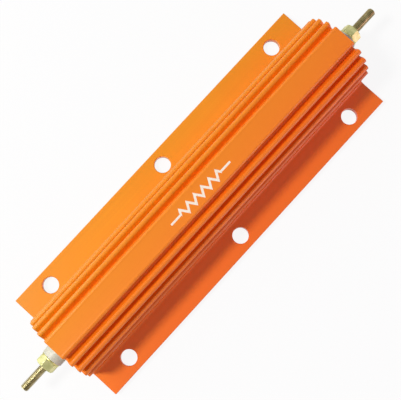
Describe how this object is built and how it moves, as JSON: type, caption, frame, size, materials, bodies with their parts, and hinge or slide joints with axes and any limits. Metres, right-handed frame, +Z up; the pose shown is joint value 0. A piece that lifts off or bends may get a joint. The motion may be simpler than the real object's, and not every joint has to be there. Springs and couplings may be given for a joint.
{
  "type": "aluminium-housed wirewound power resistor",
  "caption": "Finned, flanged aluminium housing around a wire-wound ceramic core, with screw holes in the flange and a threaded stud terminal at each end.",
  "frame": {"origin": "centre of the mounting face, under the middle of the housing", "axes": "+X along the housing towards the right terminal, +Z up from the mounting face"},
  "size_m": [0.1746, 0.0474, 0.0247],
  "materials": {
    "anodised_aluminium": "satin orange-gold anodised extrusion",
    "mineral_fill": "packed mineral cement",
    "core_ceramic": "unglazed",
    "resistance_alloy": "drawn wire, oxidised",
    "cap_steel": "pressed sheet",
    "stud_steel": "rolled thread, yellow-passivated zinc",
    "bush_ceramic": "pressed and fired, thin glaze",
    "washer_steel": "yellow-passivated zinc",
    "nut_steel": "yellow-passivated zinc"
  },
  "bodies": {
    "root": {"housing": "anodised_aluminium", "insulating_fill": "mineral_fill", "ceramic_core": "core_ceramic", "resistance_wire": "resistance_alloy", "left_end_cap": "cap_steel", "right_end_cap": "cap_steel", "left_terminal_stud": "stud_steel", "right_terminal_stud": "stud_steel", "left_end_bush": "bush_ceramic", "right_end_bush": "bush_ceramic", "left_flat_washer": "washer_steel", "right_flat_washer": "washer_steel", "left_hex_nut": "nut_steel", "right_hex_nut": "nut_steel"}
  },
  "joints": []
}
